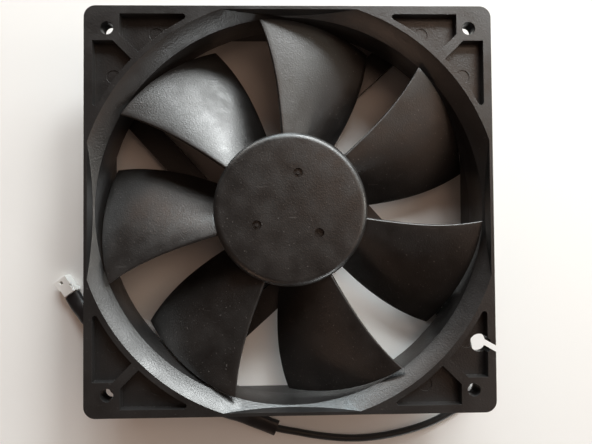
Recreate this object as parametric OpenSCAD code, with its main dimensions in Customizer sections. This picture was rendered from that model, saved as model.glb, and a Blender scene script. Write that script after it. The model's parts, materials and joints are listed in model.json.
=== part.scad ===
// Square axial case fan, 140 mm size, lying on its exhaust face.
// Origin: centre of the exhaust face. +Z runs along the rotor axis towards the intake face.
// The cable strut leaves the motor base towards -Y and +X. Millimetres throughout.

/* [Frame] */
// Side of the square frame
frame_side = 140; // [139:0.5:141]
// Depth of the frame along the airflow
frame_depth = 25; // [25:0.5:26]
// Distance between neighbouring screw holes
hole_spacing = 124.5; // [124:0.5:125]
// Diameter of each screw hole
hole_d = 4.5; // [4.3:0.1:4.8]
// Radius of the frame's four outer corners
corner_r = 4; // [3:0.5:5]
// Thickness of each flange plate
flange_t = 5; // [4.5:0.5:5.5]
// Width of the rim left around the flange pockets
rim_w = 2.8; // [2.4:0.2:3.2]
// Depth of the flange pockets
pocket_depth = 2.8; // [2:0.2:3]
// Side of the square block around each screw hole
boss_side = 12; // [11:0.5:12.5]
// Width of the diagonal rib from the block to the duct
rib_w = 3.2; // [2.8:0.2:3.6]

/* [Duct] */
// Radius of the duct at its throat
throat_r = 68.4; // [68.2:0.1:68.8]
// Radius of the bell mouth at the intake face
bell_r = 72.7; // [72:0.1:73]
// Depth of the bell mouth
bell_depth = 5; // [4:0.5:6]
// Radius of the flare at the exhaust face
flare_r = 73.5; // [72:0.1:73.6]
// Depth of the exhaust flare
flare_depth = 9; // [8:0.5:10]
// Distance between the duct's opposite flat sides
flat_span = 137.7; // [137.5:0.1:138]
// Outer radius of the duct wall between the flanges
wall_r = 72; // [71.8:0.1:72.4]

/* [Struts] */
// Distance from the rotor axis to each strut's centre line
strut_offset = 20; // [19.5:0.5:20.5]
// Direction of the first strut, counter-clockwise from +X
strut_angle = 42; // [40:1:44]
// Width of the struts
strut_w = 9; // [8:0.5:9]
// Height of the struts above the exhaust face
strut_h = 4.2; // [4:0.1:4.4]

/* [Impeller] */
// Number of blades
blade_count = 7; // [7:1:7]
// Radius of the blade tips
tip_r = 67.4; // [66.8:0.1:67.5]
// Radius of the hub
hub_r = 26.8; // [26.6:0.1:27]
// Height of the hub's flat cap above the exhaust face
hub_top = 24.6; // [24.4:0.1:24.8]
// Height of the hub's lower rim
hub_bottom = 5; // [4.9:0.1:5.2]
// Rounding of the hub's upper edge
hub_round = 2.6; // [1.8:0.1:2.8]
// Angle of the first blade, counter-clockwise from +X
blade_angle = 97; // [90:1:104]
// Thickness of the blades at the hub
blade_root_t = 2.6; // [2.2:0.1:2.8]
// Thickness of the blades at the tip
blade_tip_t = 1.8; // [1.5:0.1:2]

/* [Motor] */
// Radius of the round motor base
base_r = 27.2; // [27:0.1:27.4]
// Outer radius of the bearing tube
tube_r = 5.5; // [5.4:0.1:5.6]
// Radius of the shaft
shaft_r = 1.5; // [1.5:0.1:1.5]
// Outer radius of each ball bearing
bearing_r = 4; // [4:0.1:4]
// Width of each ball bearing
bearing_w = 4; // [4:0.1:4]
// Balls in each bearing
ball_count = 8; // [7:1:8]
// Outer radius of the stator's pole faces
stator_r = 21; // [20.8:0.1:21.1]
// Inner radius of the ring magnet
magnet_r = 21.6; // [21.5:0.1:21.7]
// Number of stator poles
pole_count = 4; // [4:1:4]

/* [Cable] */
// Diameter of the round lead
lead_d = 2.6; // [2.4:0.1:2.6]
// Width of the flattened shrink sleeve
sleeve_w = 6; // [5.6:0.1:6.2]
// Thickness of the flattened shrink sleeve
sleeve_t = 3; // [2.8:0.1:3]
// Width of the two-pin connector housing
plug_w = 5.2; // [5:0.1:6]
// Length of the connector housing
plug_l = 7; // [6.8:0.1:8]
// Height of the connector housing
plug_h = 4.5; // [4.4:0.1:4.6]

/* [Hidden] */
$fn = 96;

// Cutting tools reach this far past the faces they cut.
over = 1;
// Gap between pieces that are pressed or glued together.
fit = 0.02;

half_side = frame_side / 2;
half_spacing = hole_spacing / 2;
half_flat = flat_span / 2;
pocket_half = half_side - rim_w;
boss_edge = half_side - boss_side;
ring_wall_r = 74.6;
pocket_r = 1;
pocket_tip = [
    sqrt(pow(ring_wall_r + pocket_r, 2) - pow(pocket_half - pocket_r, 2)),
    pocket_half - pocket_r];
mark_at = [46.3, 61];
mark_r = 2.4;
mark_depth = 0.2;

// Cable notch in the intake flange: a round hole in a pocket floor and a slanted slot to the edge.
notch_at = [65.4, -47];
notch_r = 3.1;
notch_slot_w = 1.9;
notch_slant = -29;
notch_slot_shift = 1.05;

// Motor base: floor, rim, label recess and the collar around the bearing tube.
floor_t = 2.1;
recess_depth = 0.3;
recess_r = 24.5;
rim_inner_r = 25.6;
rim_top = 4.4;
collar_r = 7.6;

// The cable strut is the fourth one. Distances run along it from the foot of the perpendicular.
cable_dir = strut_angle - 90;
channel_w = 3;
channel_top = 3;
channel_start = 9;
slot_start = 60;
slot_end = 74;
slot_top = 8;
slot_w = 3.2;
strut_start = 6;
strut_end = 70;

// Levels inside the motor, above the exhaust face.
board_z = rim_top;
board_t = 1;
board_r = 22;
pin_circle_r = 8.1;
pin_r = 0.3;
label_z = 0.1;
label_t = 0.2;
label_r = 24.3;
core_z0 = 9;
core_z1 = 16;
insulator_z0 = 6.4;
insulator_z1 = 19;
yoke_r = 25.08;
yoke_t = 1;
yoke_z0 = 7.5;
cap_inner_z = hub_top - 1.8;
magnet_z0 = 8;
magnet_z1 = 18.5;
tube_z0 = 0.4;
tube_z1 = 18.8;
rear_bearing_z = 3;
front_bearing_z = 13.4;
boss_z0 = 19.4;
boss_r = 5.5;
boss_neck_r = 3.5;
shaft_z0 = 1.2;
groove_z = 2;
groove_r = 1.2;
groove_w = 0.45;

// Ball bearing proportions.
ball_r = 0.79;
pitch_r = 2.75;
groove_clear = 0.06;
inner_land_r = 2.1;
outer_land_r = 3.25;
shield_t = 0.2;

// Stator poles.
arm_w = 6;
core_ring_r = 9;
shoe_t = 2;
shoe_half_deg = 36;

// Connector: where its rear face stands and which way it points.
plug_at = [-85.2, -31.2];
plug_dir = 125;
pin_pitch = 2;

// Route of the free lead, from the slot in the duct wall to the mouth of the sleeve.
lead_route = [
    [63.7, -40.9, 6.4], [65.7, -43.2, 6.5], [67.1, -46.2, 6.5], [67.9, -50, 6.4], [68.7, -54.5, 6.4],
    [70, -59, 6.4], [71.7, -63.5, 5.2], [72.8, -67.5, 3.2], [72.4, -71.5, 1.8], [70, -75, 1.4],
    [66.2, -78, 1.4], [61.7, -80.6, 1.4], [54.6, -84, 1.4], [46, -86.7, 1.4], [37, -88.5, 1.4],
    [28, -89.4, 1.4], [19, -89.2, 1.4], [10, -88.1, 1.4], [2, -86.6, 1.4], [-6, -84.9, 1.5]];

// Route of the sleeve: over the exhaust flange, through the open corner and down again.
sleeve_route = [
    [-6, -84.9, 1.5], [-13, -81.9, 1.7], [-20, -78.7, 2.8], [-27, -75.3, 4.9], [-34, -71.7, 6.4],
    [-42, -67, 6.6], [-50, -61.7, 6.6], [-58, -55.9, 6.6], [-66, -49.7, 6.6], [-72.5, -44.4, 6.4],
    [-78, -39.6, 5], [-82.1, -35.6, 3.3], [-84.9, -31.7, 2.35]];

// ---- helpers -------------------------------------------------------------------------------

// A point given along and beside the cable strut's centre line, at height z.
function on_cable_strut(along, beside, z) = [
    along * cos(cable_dir) - (strut_offset + beside) * sin(cable_dir),
    along * sin(cable_dir) + (strut_offset + beside) * cos(cable_dir),
    z];

function unit(v) = v / norm(v);

// Points of an arc, in equal steps from one angle to another.
function arc(centre, r, from, to, steps) = [
    for (i = [0 : steps])
        let (a = from + (to - from) * i / steps)
        centre + r * [cos(a), sin(a)]];

// A point of the smooth curve through p1 and p2, where p0 and p3 are their neighbours.
function between(p0, p1, p2, p3, t) =
    0.5 * (2 * p1 + (p2 - p0) * t + (2 * p0 - 5 * p1 + 4 * p2 - p3) * t * t
    + (3 * p1 - p0 - 3 * p2 + p3) * t * t * t);

// The route with extra points between its own, on one smooth curve.
function smoothed(route, steps) = let (last = len(route) - 1) [
    for (i = [0 : last - 1])
        let (before = i == 0 ? 2 * route[0] - route[1] : route[i - 1])
        let (after = i == last - 1 ? 2 * route[last] - route[last - 1] : route[i + 2])
        for (k = [0 : steps - 1])
            between(before, route[i], route[i + 1], after, k / steps),
    route[last]];

function heading(route, i) =
    unit(route[min(i + 1, len(route) - 1)] - route[max(i - 1, 0)]);

// A closed tube with an oval section, swept along a route.
module swept_tube(route, width, height, sides) {
    count = len(route);
    points = [
        for (i = [0 : count - 1])
            let (ahead = heading(route, i))
            let (left = unit(cross([0, 0, 1], ahead)))
            let (up = cross(ahead, left))
            for (k = [0 : sides - 1])
                let (turn = 360 * (k + 0.5) / sides)
                route[i] + left * cos(turn) * width / 2 + up * sin(turn) * height / 2];
    walls = [
        for (i = [0 : count - 2])
            for (k = [0 : sides - 1])
                let (a = i * sides + k)
                let (b = i * sides + (k + 1) % sides)
                each [[a, b, a + sides], [b, b + sides, a + sides]]];
    start_cap = [for (k = [sides - 1 : -1 : 0]) k];
    end_cap = [for (k = [0 : sides - 1]) (count - 1) * sides + k];
    polyhedron(points, concat(walls, [start_cap, end_cap]));
}

module ring(inner_r, outer_r, z0, z1) {
    translate([0, 0, z0]) difference() {
        cylinder(r = outer_r, h = z1 - z0);
        translate([0, 0, -over]) cylinder(r = inner_r, h = z1 - z0 + 2 * over);
    }
}

module around(count, first = 0) {
    for (i = [0 : count - 1]) rotate(first + i * 360 / count) children();
}

module at_corners(distance) {
    for (x = [-1, 1], y = [-1, 1]) translate([x * distance, y * distance, 0]) children();
}

// ---- frame ---------------------------------------------------------------------------------

module flange_plate(z0) {
    translate([0, 0, z0]) linear_extrude(flange_t) union() {
        square([frame_side, frame_side - 2 * corner_r], center = true);
        square([frame_side - 2 * corner_r, frame_side], center = true);
        for (x = [-1, 1], y = [-1, 1])
            translate([x, y] * (half_side - corner_r)) circle(corner_r);
    }
}

module on_both_sides() {
    children();
    mirror([1, -1]) children();
}

// The two pockets of one corner, one on each side of the diagonal rib, with rounded tips.
module pocket_pair() {
    difference() {
        square(pocket_half);
        circle(ring_wall_r, $fn = 192);
        translate([boss_edge, boss_edge]) square(boss_side);
        rotate(45) translate([0, -rib_w / 2]) square([2 * half_side, rib_w]);
        on_both_sides() polygon(concat(
            [[0, 0]],
            arc(pocket_tip, pocket_r, 180 + atan2(pocket_tip[1], pocket_tip[0]), 90, 6),
            [[pocket_tip[0], half_side], [0, half_side]]));
    }
}

module pockets() {
    linear_extrude(pocket_depth + over) for (i = [0 : 3]) rotate(90 * i) pocket_pair();
    // Round ejector marks in the pocket floors.
    translate([0, 0, -mark_depth]) for (i = [0 : 3]) rotate(90 * i) {
        translate([mark_at[0], mark_at[1], 0]) cylinder(r = mark_r, h = mark_depth + over);
        translate([mark_at[1], mark_at[0], 0]) cylinder(r = mark_r, h = mark_depth + over);
    }
}

module duct_bore() {
    intersection() {
        rotate_extrude($fn = 192) polygon([
            [0, -over], [flare_r, -over], [flare_r, 0], [throat_r, flare_depth],
            [throat_r, frame_depth - bell_depth], [bell_r, frame_depth],
            [bell_r, frame_depth + over], [0, frame_depth + over]]);
        translate([-half_flat, -half_flat, -2 * over])
            cube([flat_span, flat_span, frame_depth + 4 * over]);
    }
}

module struts() {
    for (i = [0 : 3]) rotate(strut_angle + 90 * i)
        translate([strut_start, strut_offset - strut_w / 2, 0])
            cube([strut_end - strut_start, strut_w, strut_h]);
}

// Round dish that holds the motor, carried by the struts.
module motor_base() {
    difference() {
        union() {
            cylinder(r = base_r, h = rim_top);
            struts();
        }
        translate([0, 0, floor_t]) cylinder(r = rim_inner_r, h = rim_top);
        translate([0, 0, -over]) cylinder(r = recess_r, h = recess_depth + over);
    }
    translate([0, 0, recess_depth]) cylinder(r = collar_r, h = board_z - recess_depth);
}

// Trough under the cable strut, open into the motor base, and the slot through the duct wall.
module cable_way() {
    rotate(cable_dir) translate([0, strut_offset, 0]) {
        translate([channel_start, -channel_w / 2, -over])
            cube([slot_start - channel_start + over, channel_w, channel_top + over]);
        translate([slot_start, -slot_w / 2, -over])
            cube([slot_end - slot_start, slot_w, slot_top + over]);
    }
}

module cable_notch() {
    translate([notch_at[0], notch_at[1], frame_depth - flange_t - over]) {
        cylinder(r = notch_r, h = flange_t + 2 * over);
        rotate(notch_slant) translate([0, notch_slot_shift - notch_slot_w / 2, 0])
            cube([boss_side, notch_slot_w, flange_t + 2 * over]);
    }
}

module fan_frame() {
    color("#262524") difference() {
        union() {
            difference() {
                union() {
                    flange_plate(0);
                    flange_plate(frame_depth - flange_t);
                    intersection() {
                        cylinder(r = wall_r, h = frame_depth, $fn = 192);
                        translate([-half_side, -half_side, 0])
                            cube([frame_side, frame_side, frame_depth]);
                    }
                }
                duct_bore();
            }
            motor_base();
        }
        translate([0, 0, frame_depth - pocket_depth]) pockets();
        translate([0, 0, pocket_depth]) mirror([0, 0, 1]) pockets();
        translate([0, 0, -over]) cylinder(r = tube_r + fit, h = frame_depth);
        at_corners(half_spacing) translate([0, 0, -over])
            cylinder(d = hole_d, h = frame_depth + 2 * over);
        cable_way();
        cable_notch();
    }
}

// ---- motor, fixed side ---------------------------------------------------------------------

module bearing_tube() {
    color("#b5995a") translate([0, 0, tube_z0]) difference() {
        cylinder(r = tube_r, h = tube_z1 - tube_z0);
        translate([0, 0, -over]) cylinder(r = outer_land_r, h = tube_z1);
        translate([0, 0, -over])
            cylinder(r = bearing_r + fit, h = rear_bearing_z + bearing_w - tube_z0 + over);
        translate([0, 0, front_bearing_z - tube_z0])
            cylinder(r = bearing_r + fit, h = tube_z1);
    }
}

// One layer of the four-pole stator: a ring, arms and curved shoes.
module pole_layer(outer_r, shoe, arm) {
    difference() {
        union() {
            circle(core_ring_r);
            around(pole_count) translate([0, -arm / 2]) square([outer_r - shoe / 2, arm]);
            intersection() {
                difference() {
                    circle(outer_r);
                    circle(outer_r - shoe);
                }
                around(pole_count) polygon([
                    [0, 0],
                    2 * outer_r * [cos(shoe_half_deg), -sin(shoe_half_deg)],
                    2 * outer_r * [cos(shoe_half_deg), sin(shoe_half_deg)]]);
            }
        }
        circle(tube_r + fit);
    }
}

module stator_core() {
    color("#5e5f63") translate([0, 0, core_z0])
        linear_extrude(core_z1 - core_z0) pole_layer(stator_r, shoe_t, arm_w - 1);
}

// A moulded cover for one end of the stator: a thin plate with an upstanding outer lip.
module insulator(lip_h) {
    plate_t = 0.8;
    linear_extrude(plate_t) pole_layer(stator_r - 0.4, shoe_t + 0.4, arm_w);
    linear_extrude(lip_h) difference() {
        intersection() {
            difference() {
                circle(stator_r - 0.6);
                circle(stator_r - 1.6);
            }
            around(pole_count) polygon([
                [0, 0],
                2 * stator_r * [cos(shoe_half_deg - 4), -sin(shoe_half_deg - 4)],
                2 * stator_r * [cos(shoe_half_deg - 4), sin(shoe_half_deg - 4)]]);
        }
        circle(tube_r + fit);
    }
    linear_extrude(lip_h) difference() {
        circle(core_ring_r - 0.4);
        circle(core_ring_r - 1.4);
    }
}

module upper_insulator() {
    color("#d8d2c0") translate([0, 0, core_z1]) insulator(insulator_z1 - core_z1);
}

module lower_insulator() {
    color("#d8d2c0") translate([0, 0, core_z0]) mirror([0, 0, 1])
        insulator(core_z0 - insulator_z0);
}

module stator_coils() {
    coil_in = core_ring_r + 0.3;
    coil_out = stator_r - shoe_t - 1.7;
    coil_t = 1.9;
    coil_z0 = insulator_z0 + 0.6;
    coil_z1 = insulator_z1 - 0.6;
    window_z0 = core_z0 - 0.85;
    window_z1 = core_z1 + 0.85;
    color("#a8552a") around(pole_count) difference() {
        translate([coil_in, -arm_w / 2 - coil_t, coil_z0])
            cube([coil_out - coil_in, arm_w + 2 * coil_t, coil_z1 - coil_z0]);
        translate([coil_in - over, -arm_w / 2 - 0.05, window_z0])
            cube([coil_out - coil_in + 2 * over, arm_w + 0.1, window_z1 - window_z0]);
    }
}

module winding_pins() {
    below = 0.8;
    color("#c9c4b4") around(pole_count, 45) translate([pin_circle_r, 0, board_z - below])
        cylinder(r = pin_r, h = insulator_z0 - board_z + below, $fn = 24);
}

module circuit_board() {
    color("#2f6b3c") translate([0, 0, board_z]) difference() {
        cylinder(r = board_r, h = board_t);
        translate([0, 0, -over]) cylinder(r = tube_r + 0.3, h = board_t + 2 * over);
        around(pole_count, 45) translate([pin_circle_r, 0, -over])
            cylinder(r = pin_r + fit, h = board_t + 2 * over, $fn = 24);
    }
}

module chip(size, radius, angle, z0) {
    rotate(angle) translate([radius, 0, z0 + size[2] / 2]) cube(size, center = true);
}

module hall_sensor() {
    color("#1c1c1e") chip([3, 4, 1.5], 19.6, 45, board_z + board_t);
}

module driver_chip() {
    color("#1c1c1e") chip([4, 5, 1.5], 15, 160, board_z - 1.5);
}

module filter_capacitor() {
    color("#b08f66") chip([1.8, 3.2, 1.6], 17, 235, board_z - 1.6);
}

module polarity_diode() {
    color("#1c1c1e") chip([2.6, 4.4, 2], 17, 75, board_z - 2);
}

module rear_label() {
    color("#c7c8c9") translate([0, 0, label_z]) cylinder(r = label_r, h = label_t);
}

// ---- ball bearings -------------------------------------------------------------------------

module race(inner_r, outer_r, z0) {
    color("#b9bcc0") translate([0, 0, z0 + bearing_w / 2]) difference() {
        translate([0, 0, -bearing_w / 2]) cylinder(r = outer_r, h = bearing_w);
        translate([0, 0, -bearing_w]) cylinder(r = inner_r, h = 2 * bearing_w);
        rotate_extrude() translate([pitch_r, 0]) circle(ball_r + groove_clear, $fn = 48);
    }
}

module shields(z0) {
    color("#9fa2a6") for (z = [z0 + shield_t, z0 + bearing_w - 2 * shield_t])
        ring(inner_land_r + 0.25, outer_land_r - fit, z, z + shield_t);
}

module balls(z0) {
    color("#d5d8dc") translate([0, 0, z0 + bearing_w / 2]) around(ball_count)
        translate([pitch_r, 0, 0]) sphere(ball_r, $fn = 32);
}

module cage(z0) {
    cage_h = 2.2;
    color("#8c7444") translate([0, 0, z0 + bearing_w / 2]) difference() {
        ring(pitch_r - 0.2, pitch_r + 0.2, -cage_h / 2, cage_h / 2);
        around(ball_count) translate([pitch_r - over, 0, 0]) rotate([0, 90, 0])
            cylinder(r = ball_r + groove_clear, h = 2 * over, $fn = 32);
    }
}

module front_outer_race() {
    race(outer_land_r, bearing_r, front_bearing_z);
}

module rear_outer_race() {
    race(outer_land_r, bearing_r, rear_bearing_z);
}

module front_inner_race() {
    race(shaft_r + fit, inner_land_r, front_bearing_z);
}

module rear_inner_race() {
    race(shaft_r + fit, inner_land_r, rear_bearing_z);
}

module front_shields() {
    shields(front_bearing_z);
}

module rear_shields() {
    shields(rear_bearing_z);
}

module front_balls() {
    balls(front_bearing_z);
}

module rear_balls() {
    balls(rear_bearing_z);
}

module front_cage() {
    cage(front_bearing_z);
}

module rear_cage() {
    cage(rear_bearing_z);
}

// ---- rotor ---------------------------------------------------------------------------------

blade_root_r = 26;
lead_edge_z = 22.3;
radial_steps = 8;
chord_steps = 9;

// How far out along the blade a radius is, from 0 at the hub to 1 at the tip.
function span_at(r) = (r - hub_r) / (tip_r - hub_r);

// Angles of the leading and trailing edges, from the blade's own zero.
function lead_deg(x) = -0.9 - 3 * x + 6 * x * x;
function trail_deg(x) = -41.2 + 1.6 * x + 6 * x * x;

// Height of the trailing edge, and the height of the blade's middle surface between the edges.
function trail_z(x) = 5.8 + 1.1 * x;
function middle_z(x, u) =
    lead_edge_z - (lead_edge_z - trail_z(x)) * (0.75 * u + 0.25 * u * u);

function thickness(x, u) =
    (blade_root_t + (blade_tip_t - blade_root_t) * x)
    * (u < 0.3 ? 1 - 0.5 * pow((0.3 - u) / 0.3, 2) : 1 - 0.6 * pow((u - 0.3) / 0.7, 2));

// A point of the blade's skin: side is 1 for the upper face and -1 for the lower face.
function blade_point(r, u, side) =
    let (x = span_at(r))
    let (turn = lead_deg(x) + (trail_deg(x) - lead_deg(x)) * u)
    let (run = r * (trail_deg(x) - lead_deg(x)) * PI / 180)
    let (fall = -(lead_edge_z - trail_z(x)) * (0.75 + 0.5 * u))
    let (along = norm([run, fall]))
    let (half_t = side * thickness(x, u) / 2)
    let (turned = turn + half_t * fall / along / r * 180 / PI)
    [r * cos(turned), r * sin(turned), middle_z(x, u) - half_t * run / along];

module blade() {
    row = chord_steps + 1;
    skin = (radial_steps + 1) * row;
    points = [
        for (side = [1, -1])
            for (i = [0 : radial_steps])
                for (j = [0 : chord_steps])
                    blade_point(blade_root_r + (tip_r - blade_root_r) * i / radial_steps,
                        j / chord_steps, side)];
    faces = [
        for (i = [0 : radial_steps - 1])
            for (j = [0 : chord_steps - 1])
                let (a = i * row + j)
                let (b = a + row)
                each [[a, b, b + 1], [a, b + 1, a + 1],
                    [skin + a, skin + b + 1, skin + b], [skin + a, skin + a + 1, skin + b + 1]],
        for (i = [0 : radial_steps - 1])
            for (j = [0, chord_steps])
                let (a = i * row + j)
                let (b = a + row)
                each j == 0
                    ? [[a, skin + a, skin + b], [a, skin + b, b]]
                    : [[a, b, skin + b], [a, skin + b, skin + a]],
        for (j = [0 : chord_steps - 1])
            for (i = [0, radial_steps])
                let (a = i * row + j)
                let (b = a + 1)
                each i == 0
                    ? [[a, b, skin + b], [a, skin + b, skin + a]]
                    : [[a, skin + a, skin + b], [a, skin + b, b]]];
    polyhedron(points, faces);
}

module hub_section() {
    difference() {
        union() {
            translate([0, hub_bottom]) square([hub_r, hub_top - hub_bottom - hub_round]);
            translate([0, hub_bottom]) square([hub_r - hub_round, hub_top - hub_bottom]);
            translate([hub_r - hub_round, hub_top - hub_round]) circle(hub_round);
        }
        translate([0, hub_bottom - over]) square([yoke_r + fit, cap_inner_z - hub_bottom + over]);
        translate([-hub_r, 0]) square([hub_r, frame_depth]);
    }
}

// Two gate marks, each a ring-shaped recess around a nub, and one plain recess.
module hub_marks() {
    at_r = 12.8;
    for (a = [78, 205]) rotate(a) translate([at_r, 0, 0])
        ring(0.6, 1.65, hub_top - 0.45, hub_top + over);
    rotate(320) translate([at_r, 0, hub_top - 0.9]) cylinder(r = 1.65, h = 0.9 + over);
}

module impeller() {
    color("#2b2a29") {
        difference() {
            rotate_extrude() hub_section();
            hub_marks();
        }
        around(blade_count, blade_angle) blade();
    }
}

module rotor_yoke() {
    color("#8f9296") difference() {
        translate([0, 0, yoke_z0]) cylinder(r = yoke_r, h = cap_inner_z - yoke_z0);
        translate([0, 0, yoke_z0 - over])
            cylinder(r = yoke_r - yoke_t, h = cap_inner_z - yoke_z0 - yoke_t + over);
        cylinder(r = boss_neck_r + fit, h = frame_depth);
    }
}

module ring_magnet() {
    color("#3a3836") ring(magnet_r, yoke_r - yoke_t - fit, magnet_z0, magnet_z1);
}

module rotor_boss() {
    color("#b5995a") difference() {
        union() {
            translate([0, 0, boss_z0]) cylinder(r = boss_r, h = cap_inner_z - yoke_t - boss_z0);
            translate([0, 0, boss_z0]) cylinder(r = boss_neck_r, h = cap_inner_z - boss_z0);
        }
        cylinder(r = shaft_r + fit, h = frame_depth);
    }
}

module shaft() {
    color("#c5c8cc") difference() {
        translate([0, 0, shaft_z0]) cylinder(r = shaft_r, h = cap_inner_z - 0.1 - shaft_z0);
        ring(groove_r, shaft_r + over, groove_z, groove_z + groove_w);
    }
}

module preload_spring() {
    wire_r = 0.18;
    coil_r = 2;
    turns = 3;
    z0 = front_bearing_z + bearing_w + wire_r + 0.03;
    z1 = boss_z0 - wire_r - 0.03;
    route = [
        for (a = [0 : 24 : 360 * turns])
            [coil_r * cos(a), coil_r * sin(a), z0 + (z1 - z0) * a / (360 * turns)]];
    color("#aeb2b6") swept_tube(route, 2 * wire_r, 2 * wire_r, 8);
}

module thrust_washer() {
    color("#a98b4d") ring(shaft_r + 0.1, 2.6, groove_z + groove_w + 0.05, rear_bearing_z - 0.05);
}

module retaining_clip() {
    color("#9a9da1") difference() {
        ring(groove_r + fit, 2.9, groove_z + 0.02, groove_z + groove_w - 0.02);
        translate([0, -groove_r, 0]) cube([4, 2 * groove_r, frame_depth]);
    }
}

// ---- cable ---------------------------------------------------------------------------------

module lead_in_channel() {
    route = [
        on_cable_strut(16, 0, 1.6), on_cable_strut(26, 0, 1.6), on_cable_strut(36, 0, 1.6),
        on_cable_strut(46, 0, 1.6), on_cable_strut(56, 0, 1.6), on_cable_strut(61, 0, 1.9),
        on_cable_strut(65, 0, 3.3), on_cable_strut(69, 0, 5.1),
        on_cable_strut(72.2, 0, 6.2)];
    color("#191818") swept_tube(route, lead_d, lead_d, 8);
}

// Two insulated conductors from the end of the lead's jacket up to the circuit board.
module lead_conductors() {
    wire_d = 0.9;
    for (side = [-1, 1])
        color(side > 0 ? "#8c1f1c" : "#1b1b1b") swept_tube([
            on_cable_strut(16, side * 0.6, 1.6), on_cable_strut(14, side * 0.6, 1.7),
            on_cable_strut(12, side * 0.6, 2.2), on_cable_strut(10.5, side * 0.7 - 0.3, 3),
            on_cable_strut(9.5, side * 0.9 - 0.8, 3.9)], wire_d, wire_d, 8);
}

module lead_cable() {
    color("#191818") swept_tube(smoothed(lead_route, 2), lead_d, lead_d, 8);
}

module heat_shrink_sleeve() {
    color("#141314") swept_tube(smoothed(sleeve_route, 2), sleeve_w, sleeve_t, 12);
}

module place_plug() {
    translate([plug_at[0], plug_at[1], 0]) rotate(plug_dir) children();
}

module connector_housing() {
    cavity = [1.5, 2];
    color("#f0efe9") place_plug() difference() {
        translate([0, -plug_w / 2, 0]) cube([plug_l, plug_w, plug_h]);
        for (side = [-1, 1])
            translate([-over, side * pin_pitch / 2 - cavity[0] / 2, plug_h / 2 - cavity[1] / 2])
                cube([plug_l + 2 * over, cavity[0], cavity[1]]);
        // Window between the contacts, and the steps for the latch.
        translate([4.7, -0.45, plug_h / 2]) cube([1.2, 0.9, plug_h]);
        for (side = [-1, 1])
            translate([-over, side * plug_w / 2 - 0.5, 3.3]) cube([3 + over, 1, plug_h]);
    }
}

module connector_contacts() {
    color("#c9b98a") place_plug() for (side = [-1, 1])
        translate([0.4, side * pin_pitch / 2 - 0.6, plug_h / 2 - 0.8]) difference() {
            cube([plug_l - 1, 1.2, 1.6]);
            translate([3, 0.25, 0.25]) cube([plug_l, 0.7, 1.1]);
        }
}

fan_frame();
bearing_tube();
stator_core();
upper_insulator();
lower_insulator();
stator_coils();
winding_pins();
circuit_board();
hall_sensor();
driver_chip();
filter_capacitor();
polarity_diode();
rear_label();
lead_conductors();
lead_in_channel();
front_outer_race();
front_shields();
rear_outer_race();
rear_shields();
impeller();
rotor_yoke();
ring_magnet();
rotor_boss();
shaft();
front_inner_race();
rear_inner_race();
preload_spring();
thrust_washer();
retaining_clip();
front_balls();
front_cage();
rear_balls();
rear_cage();
lead_cable();
heat_shrink_sleeve();
connector_housing();
connector_contacts();
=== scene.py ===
# %% [markdown]
# # A case fan, and how it is built up in Blender
#
# The fan lies on a table with its intake side up. It is a square moulded frame with
# a round duct, a seven-bladed impeller on a motor that four struts hold, and a short
# lead that ends in a small white connector.
#
# The exact engineering model of the fan is loaded first. It fixes where everything is.
# Whatever is added here is fitted to it, and moves with one of its bodies.

# %% Load the fan and start from a clean selection
import bpy
import json
import math
from mathutils import Matrix, Vector


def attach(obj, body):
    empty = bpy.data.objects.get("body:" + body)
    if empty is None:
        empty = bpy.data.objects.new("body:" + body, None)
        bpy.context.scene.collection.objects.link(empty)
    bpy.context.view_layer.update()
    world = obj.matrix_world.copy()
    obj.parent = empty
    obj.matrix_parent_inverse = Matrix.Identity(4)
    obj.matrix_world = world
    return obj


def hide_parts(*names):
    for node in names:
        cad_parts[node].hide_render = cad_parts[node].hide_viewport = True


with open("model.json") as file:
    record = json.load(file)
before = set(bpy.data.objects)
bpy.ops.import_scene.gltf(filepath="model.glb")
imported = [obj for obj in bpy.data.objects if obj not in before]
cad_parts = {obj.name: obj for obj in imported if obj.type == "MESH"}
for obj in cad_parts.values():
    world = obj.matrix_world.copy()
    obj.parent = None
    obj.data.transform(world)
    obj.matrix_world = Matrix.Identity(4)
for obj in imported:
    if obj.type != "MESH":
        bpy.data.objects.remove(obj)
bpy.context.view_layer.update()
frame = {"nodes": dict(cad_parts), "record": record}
nodes = frame["nodes"]
bpy.ops.object.select_all(action="DESELECT")
MM = 0.001
print(len(nodes), "parts loaded")

# %% [markdown]
# ## The camera
#
# The fan is seen from straight above, from quite near, so the far end of the duct looks
# smaller than the near end. A long lens from far away would show no such difference. A
# short lens does: 25.6 mm on a 36 mm wide sensor, 17 cm above the table.

# %% Camera
camera_place = Vector((-1.119, -7.037, 168.292)) * MM
camera_turn = (1.0381, -1.1640, -0.4551)
lens, sensor_width = 25.56, 36

bpy.ops.object.camera_add(location=camera_place)
camera = bpy.context.object
camera.name = "camera"
camera.rotation_euler = [math.radians(degrees) for degrees in camera_turn]
camera.data.lens = lens
camera.data.sensor_width = sensor_width
camera.data.clip_start = 5 * MM
bpy.context.scene.camera = camera
bpy.context.scene.view_settings.view_transform = "Standard"
print("camera height", round(camera.location.z / MM), "mm")

# %% [markdown]
# ## The table and the light
#
# A big pale plane is the table. The light is that of a room with a wide window at the
# top right. One very large lamp would do for the window, but its light would be equally
# strong all over. Instead a set of soft round lamps stands round the fan, each at its own
# angle and strength. The strong neutral ones are the window, and the weak warm ones are
# light that the room sends back. A faint warm world lightens the shadows.

# %% Table
table_side = 3
table_colour = (0.88, 0.88, 0.87, 1)

bpy.ops.mesh.primitive_plane_add(size=table_side)
table = bpy.context.object
table.name = "table"
paper = bpy.data.materials.new("table_paper")
paper.use_nodes = True
paper_shader = paper.node_tree.nodes["Principled BSDF"]
paper_shader.inputs["Base Color"].default_value = table_colour
paper_shader.inputs["Roughness"].default_value = 0.8
table.data.materials.append(paper)
print("table", table_side, "m wide")

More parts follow.
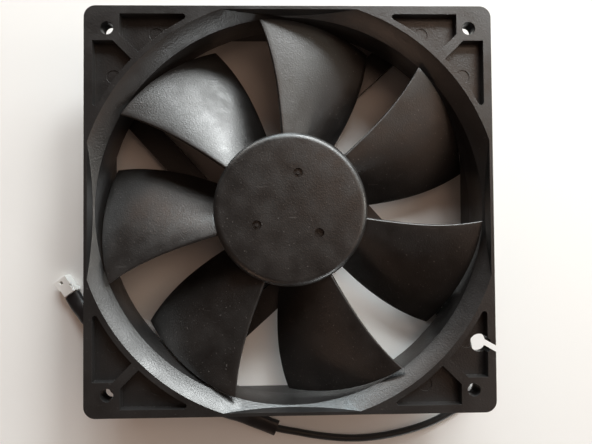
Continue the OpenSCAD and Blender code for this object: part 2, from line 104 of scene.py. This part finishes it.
# %% How a lamp is placed
lamp_distance = 1.2

def lamp_at(name, azimuth, elevation, size, power, tint):
    """A round soft lamp, aimed at the fan from these angles in degrees."""
    a, e = math.radians(azimuth), math.radians(elevation)
    away = Vector((math.cos(a) * math.cos(e), math.sin(a) * math.cos(e), math.sin(e)))
    bpy.ops.object.light_add(type="AREA", location=away * lamp_distance)
    lamp = bpy.context.object
    lamp.name = name
    lamp.data.shape = "DISK"
    lamp.data.size = size
    lamp.data.energy = power
    lamp.data.color = tint
    lamp.rotation_euler = (-away).to_track_quat("-Z", "Y").to_euler()

print("lamps stand", lamp_distance, "m away")

# %% The lamps of the window and of the room
warm, neutral = (1, 0.66, 0.48), (0.96, 1, 1)
cool, cream, straw = (0.8, 0.95, 1), (1, 0.95, 0.85), (1, 0.97, 0.8)
lamps = (  # azimuth, elevation, size in metres, power in watts, tint
    (60, 29, 0.30, 8.0, neutral), (75, 36, 0.30, 2.9, neutral),
    (93, 29, 0.40, 3.4, neutral), (42, 22, 0.45, 4.9, neutral),
    (75, 15, 0.30, 7.2, neutral), (95, 8, 0.30, 6, cool),
    (120, 8, 0.30, 2.8, neutral), (120, 22, 0.40, 0.9, warm),
    (5, 8, 0.30, 2.8, cream), (0, 22, 0.40, 0.7, neutral),
    (0, 42, 0.50, 0.7, warm), (30, 42, 0.50, 0.6, straw),
    (330, 42, 0.50, 0.4, warm), (300, 8, 0.30, 3.2, neutral),
    (240, 22, 0.40, 0.8, warm), (45, 65, 0.60, 1.1, warm))
for azimuth, elevation, size, power, tint in lamps:
    name = f"light_{azimuth:03}_{elevation:02}"
    lamp_at(name, azimuth, elevation, size, power, tint)
print(len(lamps), "lamps")

# %% The world behind
room_colour, room_strength = (1, 0.64, 0.48, 1), 0.07

world = bpy.data.worlds.new("room")
bpy.context.scene.world = world
world.use_nodes = True
room = world.node_tree.nodes["Background"]
room.inputs["Color"].default_value = room_colour
room.inputs["Strength"].default_value = room_strength
print("world strength", room_strength)

# %% [markdown]
# ## The lead
#
# The lead is one round cable, 2.6 mm thick. It comes out of the slot in the duct wall,
# goes down to the table, round the corner and along under the edge of the frame. There a
# flat sleeve takes over, which runs over the far flange, through the open corner and down
# to the connector.
#
# A cable could be swept as a mesh, but a curve with a round bevel keeps its centre line,
# so its length can be measured and its route changed point by point. The route is a
# list of points, and a smooth curve is laid through them.

# %% Route of the lead, in millimetres
lead_route = [
    (63.7, -40.9, 6.4), (65.7, -43.2, 6.5), (67.1, -46.2, 6.5), (67.9, -50, 6.4),
    (68.7, -54.5, 6.4), (70, -59, 6.4), (71.7, -63.5, 5.2), (72.8, -67.5, 3.2),
    (72.4, -71.5, 1.8), (70, -75, 1.4), (66.2, -78, 1.4), (61.7, -80.6, 1.4),
    (54.6, -84, 1.4), (46, -86.7, 1.4), (37, -88.5, 1.4), (28, -89.4, 1.4),
    (19, -89.2, 1.4), (10, -88.1, 1.4), (2, -86.6, 1.4), (-6, -84.9, 1.5)]
sleeve_route = [
    (-6, -84.9, 1.5), (-13, -81.9, 1.7), (-20, -78.7, 2.8), (-27, -75.3, 4.9),
    (-34, -71.7, 6.4), (-42, -67, 6.6), (-50, -61.7, 6.6), (-58, -55.9, 6.6),
    (-66, -49.7, 6.6), (-72.5, -44.4, 6.4), (-78, -39.6, 5), (-82.1, -35.6, 3.3),
    (-84.9, -31.7, 2.35)]

def smooth_route(points, steps):
    """Points on a smooth curve through the given ones, in metres."""
    points = [Vector(p) * MM for p in points]
    ends = [points[0]] + points + [points[-1]]
    out = []
    for a, b, c, d in zip(ends, ends[1:], ends[2:], ends[3:]):
        for i in range(steps):
            t = i / steps
            out.append(0.5 * (2 * b + (c - a) * t + (2 * a - 5 * b + 4 * c - d) * t * t
                              + (3 * b - a - 3 * c + d) * t ** 3))
    return out + [points[-1]]

cord_path = smooth_route(lead_route + sleeve_route[1:], steps=8)
cord_length = sum((b - a).length for a, b in zip(cord_path, cord_path[1:]))
print("lead length", round(cord_length / MM, 1), "mm")

# %% A curve through points
def line_through(name, points, radius=1.0):
    """A curve through these points, each with this radius."""
    line = bpy.data.curves.new(name, "CURVE")
    line.dimensions = "3D"
    spline = line.splines.new("POLY")
    spline.points.add(len(points) - 1)
    for point, place in zip(spline.points, points):
        point.co = (*place, 1)
        point.radius = radius
    obj = bpy.data.objects.new(name, line)
    bpy.context.scene.collection.objects.link(obj)
    return obj

print("a route becomes a curve")

# %% The cable
# The points carry the cable's radius, and the bevel is 1, because the size of a curve's
# box grows by its points' radius.
lead_d = 2.6 * MM
lead = line_through("lead", cord_path, lead_d / 2)
lead.data.bevel_depth = 1
lead.data.bevel_resolution = 6
lead.data.use_fill_caps = True
print("lead", len(cord_path), "points")

# %% [markdown]
# ## The sleeve
#
# The sleeve is a piece of shrink tube, pressed flat, with its mouth cut square. A second
# round bevel would be too round and would have no wall. Instead an oval is drawn along
# the last part of the route, the result is made a mesh, and a Solidify modifier gives the
# open tube its thin wall. A little displacement creases it.

# %% Oval drawn along the route
sleeve_half_width, sleeve_half_height = 3, 1.6
sleeve_lift = Vector((0, 0, 0.15 * MM))

sleeve_path = [p + sleeve_lift for p in smooth_route(sleeve_route, steps=10)]
sleeve = line_through("sleeve", sleeve_path)
bpy.ops.curve.primitive_bezier_circle_add(radius=1)
oval = bpy.context.object
oval.data.resolution_u = 9
for point in oval.data.splines[0].bezier_points:
    for handle in ("co", "handle_left", "handle_right"):
        x, y, z = getattr(point, handle)
        flat = (x * sleeve_half_width * MM, y * sleeve_half_height * MM, z)
        setattr(point, handle, flat)
sleeve.data.twist_mode = "Z_UP"
sleeve.data.bevel_mode = "OBJECT"
sleeve.data.bevel_object = oval
print("sleeve", len(sleeve_path), "points")

# %% The oval tube as a mesh
def only(obj):
    """Selects one object and makes it the active one."""
    bpy.ops.object.select_all(action="DESELECT")
    obj.select_set(True)
    bpy.context.view_layer.objects.active = obj

only(sleeve)
bpy.ops.object.convert(target="MESH")
sleeve = bpy.context.object
bpy.data.objects.remove(oval)
bpy.ops.object.mode_set(mode="EDIT")
bpy.ops.mesh.select_all(action="SELECT")
bpy.ops.mesh.remove_doubles(threshold=0.01 * MM)
bpy.ops.mesh.normals_make_consistent(inside=False)
bpy.ops.object.mode_set(mode="OBJECT")
print("tube", len(sleeve.data.polygons), "faces")

# %% Creases and wall
crease_size, crease_depth, sleeve_wall = 5 * MM, 0.35 * MM, 0.3 * MM

creases = bpy.data.textures.new("creases", "CLOUDS")
creases.noise_scale = crease_size
crease = sleeve.modifiers.new("crease", "DISPLACE")
crease.texture = creases
crease.strength = crease_depth
wall = sleeve.modifiers.new("wall", "SOLIDIFY")
wall.thickness = sleeve_wall
wall.offset = -1
for modifier in ("crease", "wall"):
    bpy.ops.object.modifier_apply(modifier=modifier)
bpy.ops.object.shade_smooth_by_angle(angle=math.radians(40))
print("sleeve", len(sleeve.data.polygons), "faces")

# %% Fasten the lead and the sleeve
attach(sleeve, "frame")
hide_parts("heat_shrink_sleeve")
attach(lead, "frame")
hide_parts("lead_cable")
print("lead and sleeve ride on the frame")

# %% [markdown]
# ## The impeller
#
# Hub and blades are one moulding on the real fan. A blade is a thin curved sheet. It
# could be cut out of a thick block, but a flat grid that is bent keeps even faces and so
# shines evenly. Each point of the grid is moved to its place on the blade's middle
# surface, which is high and flat at the leading edge and low and steep at the trailing
# edge. A Solidify modifier gives the sheet its thickness, with a vertex group that makes
# it thick at the hub and thin at the tip and the edges. A Bevel modifier rounds the rims.

# %% Shape of a blade, in millimetres and degrees
hub_r, tip_r, root_r = 26.8, 67.4, 26.0
lead_z = 22.3
root_drop, tip_drop = 5.8, 1.1
leading_edge = (-0.9, -3, 6)
trailing_edge = (-41.2, 1.6, 6)
root_thickness, tip_thinner = 2.6, 0.8

def outward(r):
    """0 at the hub and 1 at the blade's tip."""
    return (r - hub_r) / (tip_r - hub_r)

def edge_angle(edge, x):
    start, slope, curve = edge
    return start + slope * x + curve * x * x

def blade_middle(r, u):
    """Middle surface, at r from the axis, u from leading to trailing edge."""
    x = outward(r)
    first, last = edge_angle(leading_edge, x), edge_angle(trailing_edge, x)
    turn = math.radians(first + (last - first) * u)
    drop = (lead_z - root_drop - tip_drop * x) * (0.75 * u + 0.25 * u * u)
    return Vector((r * math.cos(turn), r * math.sin(turn), lead_z - drop))

thickest_at, lead_thinner, trail_thinner = 0.3, 0.5, 0.6

def blade_thickness(r, u):
    if u < thickest_at:
        edge = 1 - lead_thinner * ((thickest_at - u) / thickest_at) ** 2
    else:
        edge = 1 - trail_thinner * ((u - thickest_at) / (1 - thickest_at)) ** 2
    return (root_thickness - tip_thinner * outward(r)) * edge

print("blade from", root_r, "to", tip_r, "mm from the axis")

# %% One blade, from a grid
bpy.ops.mesh.primitive_grid_add(x_subdivisions=18, y_subdivisions=22, size=1)
blade = bpy.context.object
blade.name = "blade"
weights = blade.vertex_groups.new(name="thickness")
for vertex in blade.data.vertices:
    r = root_r + (tip_r - root_r) * (vertex.co.x + 0.5)
    u = 0.5 - vertex.co.y
    vertex.co = blade_middle(r, u) * MM
    weights.add([vertex.index], blade_thickness(r, u) / root_thickness, "REPLACE")
print("bent sheet", len(blade.data.polygons), "faces")

# %% Thickness and rounded rims
wall = blade.modifiers.new("wall", "SOLIDIFY")
wall.thickness = root_thickness * MM
wall.offset = 0
wall.vertex_group = "thickness"
bpy.ops.object.modifier_apply(modifier="wall")
rim = blade.modifiers.new("rim", "BEVEL")
rim.width = 0.4 * MM
rim.segments = 3
rim.limit_method = "ANGLE"
rim.angle_limit = math.radians(50)
bpy.ops.object.modifier_apply(modifier="rim")
print("blade", len(blade.data.polygons), "faces")

# %% Seven blades
blade_count, first_blade_at = 7, 97

def turn_mesh(obj, degrees):
    obj.data.transform(Matrix.Rotation(math.radians(degrees), 4, "Z"))

blades = [blade]
for i in range(1, blade_count):
    copy = blade.copy()
    copy.data = blade.data.copy()
    bpy.context.scene.collection.objects.link(copy)
    turn_mesh(copy, first_blade_at + i * 360 / blade_count)
    blades.append(copy)
turn_mesh(blade, first_blade_at)
print(len(blades), "blades")

# %% [markdown]
# The hub is a cup: a cylinder with its lower face taken away, its upper edge rounded and
# a wall put inside it. A turned profile would do as well, but the cylinder needs fewer
# steps and its edge is easy to pick. Three small moulding marks are sunk into its top,
# two of them with a nub left standing in the middle.

# %% Hub without its lower face
hub_top, hub_height = 24.6, 19.6

bpy.ops.mesh.primitive_cylinder_add(
    vertices=160, radius=hub_r * MM, depth=hub_height * MM,
    location=(0, 0, (hub_top - hub_height / 2) * MM))
hub = bpy.context.object
hub.name = "hub"
bpy.ops.object.transform_apply(location=True)
bpy.ops.object.mode_set(mode="EDIT")
bpy.ops.mesh.select_all(action="DESELECT")
bpy.ops.object.mode_set(mode="OBJECT")
for face in hub.data.polygons:
    face.select = face.normal.z < -0.9
bpy.ops.object.mode_set(mode="EDIT")
bpy.ops.mesh.delete(type="FACE")
bpy.ops.object.mode_set(mode="OBJECT")
print("open cylinder", len(hub.data.polygons), "faces")

# %% Rounded edge and inner wall
hub_rounding, hub_wall = 2.6, 1.65

for edge in hub.data.edges:
    heights = [hub.data.vertices[v].co.z for v in edge.vertices]
    edge.select = min(heights) > (hub_top - 0.1) * MM
bpy.ops.object.mode_set(mode="EDIT")
bpy.ops.mesh.select_mode(type="EDGE")
bpy.ops.mesh.bevel(offset=hub_rounding * MM, segments=9)
bpy.ops.object.mode_set(mode="OBJECT")
cup = hub.modifiers.new("cup", "SOLIDIFY")
cup.thickness = hub_wall * MM
cup.offset = -1
bpy.ops.object.modifier_apply(modifier="cup")
print("hub", len(hub.data.polygons), "faces")

# %% Moulding marks in the hub's top
def cut(obj, tool):
    """Takes the tool's shape out of the object, and the tool away."""
    only(obj)
    step = obj.modifiers.new("cut", "BOOLEAN")
    step.operation = "DIFFERENCE"
    step.object = tool
    bpy.ops.object.modifier_apply(modifier="cut")
    bpy.data.objects.remove(tool)

mark_r, nub_r, mark_from_axis = 1.65, 0.6, 12.8
marks = ((78, True, 0.8), (205, True, 0.8), (320, False, 1.1))  # angle, nub, depth
for angle, has_nub, depth in marks:
    turn = math.radians(angle)
    place = (mark_from_axis * math.cos(turn) * MM, mark_from_axis * math.sin(turn) * MM,
             hub_top * MM)
    bpy.ops.mesh.primitive_cylinder_add(vertices=40, radius=mark_r * MM,
                                        depth=2 * depth * MM, location=place)
    ring = bpy.context.object
    if has_nub:
        bpy.ops.mesh.primitive_cylinder_add(vertices=24, radius=nub_r * MM,
                                            depth=4 * MM, location=place)
        cut(ring, bpy.context.object)
    cut(hub, ring)
print("hub with marks", len(hub.data.polygons), "faces")

# %% Put the impeller together
bpy.ops.object.select_all(action="DESELECT")
for piece in blades:
    piece.select_set(True)
hub.select_set(True)
bpy.context.view_layer.objects.active = hub
bpy.ops.object.join()
impeller = bpy.context.object
impeller.name = "impeller_moulding"
bpy.ops.object.shade_smooth_by_angle(angle=math.radians(35))
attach(impeller, "rotor")
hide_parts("impeller")
print("impeller", len(impeller.data.polygons), "faces")

# %% [markdown]
# ## Finishes
#
# The plastic of the fan is nearly black, so it shows by its shine. One flat colour with
# one roughness would look like rubber. Each finish is a Principled shader in which a
# cloudy noise varies the colour and the roughness, as handling does, and a fine noise
# gives the grain of the mould through a Bump node. Frame and impeller have light dust
# specks as well, and the impeller has rubbed streaks. An image would need a map of each
# piece. The noise needs only the place of each point.

# %% Helpers that add one node
def noise(tree, place, size, detail):
    node = tree.nodes.new("ShaderNodeTexNoise")
    node.inputs["Scale"].default_value = size
    node.inputs["Detail"].default_value = detail
    tree.links.new(place, node.inputs["Vector"])
    return node.outputs["Fac"]

def ramp(tree, source, low, high, dark, light):
    """Turns a number into a colour, from dark at low to light at high."""
    node = tree.nodes.new("ShaderNodeValToRGB")
    ends = zip(node.color_ramp.elements, (low, high), (dark, light))
    for element, position, tone in ends:
        element.position = position
        element.color = (*tone, 1)
    tree.links.new(source, node.inputs["Fac"])
    return node.outputs["Color"]

def lighten(tree, under, factor, tone):
    """Lays a tone over a colour, as strongly as the factor says."""
    node = tree.nodes.new("ShaderNodeMix")
    node.data_type = "RGBA"
    tree.links.new(factor, node.inputs["Factor"])
    tree.links.new(under, node.inputs["A"])
    node.inputs["B"].default_value = (*tone, 1)
    return node.outputs["Result"]

print("noise, ramp and lighten")

# %% Colour, with dust and rubbed streaks
# A larger noise size means a finer pattern. Only the peaks of a noise, above the first
# limit, become dust or a streak.
dust_size, dust_limits, dust_tone = 1500, (0.7, 0.8), (0.22, 0.21, 0.2)
rubbed_size, rubbed_limits, rubbed_tone = 110, (0.76, 0.84), (0.2, 0.19, 0.18)
rubbed_turn, rubbed_stretch = (0, 0, 0.9), (1, 14, 1)
cloud_limits = (0.32, 0.72)

def cloudy_colour(tree, place, colour, mottle, mottle_size):
    darker = [c * (1 - mottle) for c in colour]
    lighter = [min(c * (1 + mottle), 1) for c in colour]
    return ramp(tree, noise(tree, place, mottle_size, 9), *cloud_limits, darker, lighter)

def dusted(tree, place, tint, amount):
    peaks = noise(tree, place, dust_size, 1)
    dust = ramp(tree, peaks, *dust_limits, [0] * 3, [amount] * 3)
    return lighten(tree, tint, dust, dust_tone)

def streaked(tree, place, tint, amount):
    turned = tree.nodes.new("ShaderNodeMapping")
    turned.inputs["Rotation"].default_value = rubbed_turn
    turned.inputs["Scale"].default_value = rubbed_stretch
    tree.links.new(place, turned.inputs["Vector"])
    peaks = noise(tree, turned.outputs["Vector"], rubbed_size, 1)
    rub = ramp(tree, peaks, *rubbed_limits, [0] * 3, [amount] * 3)
    return lighten(tree, tint, rub, rubbed_tone)

print("colour, dust and streaks")

# %% Uneven shine and the grain of the mould
shine_limits = (0.3, 0.7)
grain_height = 0.1 * MM

def uneven_shine(tree, place, shader, roughness, spread, size):
    span = tree.nodes.new("ShaderNodeMapRange")
    span.inputs["From Min"].default_value = shine_limits[0]
    span.inputs["From Max"].default_value = shine_limits[1]
    span.inputs["To Min"].default_value = roughness - spread
    span.inputs["To Max"].default_value = roughness + spread
    tree.links.new(noise(tree, place, size, 6), span.inputs["Value"])
    tree.links.new(span.outputs["Result"], shader.inputs["Roughness"])

def mould_grain(tree, place, shader, grain, grain_size):
    bump = tree.nodes.new("ShaderNodeBump")
    bump.inputs["Strength"].default_value = grain
    bump.inputs["Distance"].default_value = grain_height
    tree.links.new(noise(tree, place, grain_size, 3), bump.inputs["Height"])
    tree.links.new(bump.outputs["Normal"], shader.inputs["Normal"])

print("shine and grain")

# %% A finish
def finish_material(name, colour, roughness, metallic=0.0, mottle=0.1, mottle_size=60,
                    grain=0.1, grain_size=2600, rough_range=0.06, gloss=0.5,
                    specks=0.0, streaks=0.0):
    """A Principled shader with a cloudy colour, an uneven shine and a fine grain."""
    material = bpy.data.materials.new(name)
    material.use_nodes = True
    tree = material.node_tree
    shader = tree.nodes["Principled BSDF"]
    shader.inputs["Metallic"].default_value = metallic
    shader.inputs["Specular IOR Level"].default_value = gloss
    place = tree.nodes.new("ShaderNodeTexCoord").outputs["Object"]
    tint = cloudy_colour(tree, place, colour, mottle, mottle_size)
    if specks:
        tint = dusted(tree, place, tint, specks)
    if streaks:
        tint = streaked(tree, place, tint, streaks)
    tree.links.new(tint, shader.inputs["Base Color"])
    shine_size = mottle_size * 2.3
    uneven_shine(tree, place, shader, roughness, rough_range, shine_size)
    mould_grain(tree, place, shader, grain, grain_size)
    return material

finishes = {}
print("a finish is a material")

# %% The black mouldings
finishes["frame_plastic"] = finish_material(
    "frame_plastic", (0.013, 0.0125, 0.0125), 0.37, mottle=0.4, grain=0.75,
    grain_size=1700, gloss=0.85, specks=0.2)
finishes["rotor_plastic"] = finish_material(
    "rotor_plastic", (0.013, 0.012, 0.0115), 0.38, mottle=0.5, mottle_size=75,
    grain=0.75, grain_size=1900, rough_range=0.08, gloss=0.88, specks=0.5, streaks=0.25)
print(len(finishes), "finishes")

# %% The other plastics
for name, colour, roughness, extra in (
        ("wire_black", (0.01, 0.01, 0.01), 0.45, {"grain": 0.15}),
        ("wire_red", (0.4, 0.02, 0.015), 0.4, {}),
        ("sleeve_black", (0.009, 0.008, 0.009), 0.42, {"grain": 0.25}),
        ("nylon_white", (0.93, 0.93, 0.91), 0.35, {"mottle": 0.02}),
        ("insulator", (0.75, 0.7, 0.58), 0.5, {}),
        ("chip_black", (0.02, 0.02, 0.02), 0.5, {"grain": 0.3}),
        ("board", (0.03, 0.16, 0.06), 0.4, {"mottle": 0.15, "mottle_size": 300}),
        ("ceramic", (0.42, 0.28, 0.14), 0.5, {}),
        ("label", (0.5, 0.5, 0.5), 0.32, {"mottle": 0.08, "mottle_size": 400})):
    finishes[name] = finish_material(name, colour, roughness, **extra)
print(len(finishes), "finishes")

# %% The metals
for name, colour, roughness, grain in (
        ("brass", (0.6, 0.42, 0.16), 0.3, 0.1),
        ("core_steel", (0.3, 0.3, 0.32), 0.45, 0.2),
        ("copper_wire", (0.6, 0.2, 0.06), 0.3, 0.3),
        ("tinned", (0.66, 0.62, 0.52), 0.3, 0.05),
        ("bearing_steel", (0.7, 0.7, 0.72), 0.18, 0.02),
        ("cage_brass", (0.5, 0.38, 0.17), 0.35, 0.05),
        ("shaft_steel", (0.74, 0.75, 0.77), 0.2, 0.03),
        ("yoke_steel", (0.5, 0.51, 0.53), 0.35, 0.1),
        ("magnet", (0.05, 0.047, 0.045), 0.6, 0.2),
        ("spring_steel", (0.6, 0.61, 0.62), 0.25, 0.02)):
    finishes[name] = finish_material(name, colour, roughness, metallic=1, grain=grain)
print(len(finishes), "finishes")

# %% Give every piece its finish
slot_of = {s["node"]: s["material_slot"] for s in frame["record"]["subparts"]}
for name, node in nodes.items():
    node.data.materials.clear()
    node.data.materials.append(finishes[slot_of[name]])
lead.data.materials.append(finishes["wire_black"])
sleeve.data.materials.append(finishes["sleeve_black"])
impeller.data.materials.append(finishes["rotor_plastic"])
print(len(nodes) + 3, "pieces have a finish")

# %% [markdown]
# ## Soft edges
#
# A moulded edge is never quite sharp, and it shows as a fine line of light. The edges
# could be rounded in the engineering model, which would make it slow to work with. Here
# the frame and the connector are merged and bevelled by modifiers instead, which leaves
# their own meshes alone.

# %% Soften the moulded edges
def soften(node, width):
    weld = node.modifiers.new("weld", "WELD")
    weld.merge_threshold = 0.002 * MM
    soft = node.modifiers.new("soft_edges", "BEVEL")
    soft.width = width
    soft.segments = 2
    soft.limit_method = "ANGLE"
    soft.angle_limit = math.radians(40)

soften(nodes["fan_frame"], 0.3 * MM)
soften(nodes["connector_housing"], 0.25 * MM)
print("edges softened")

# %% The end
print("the end")
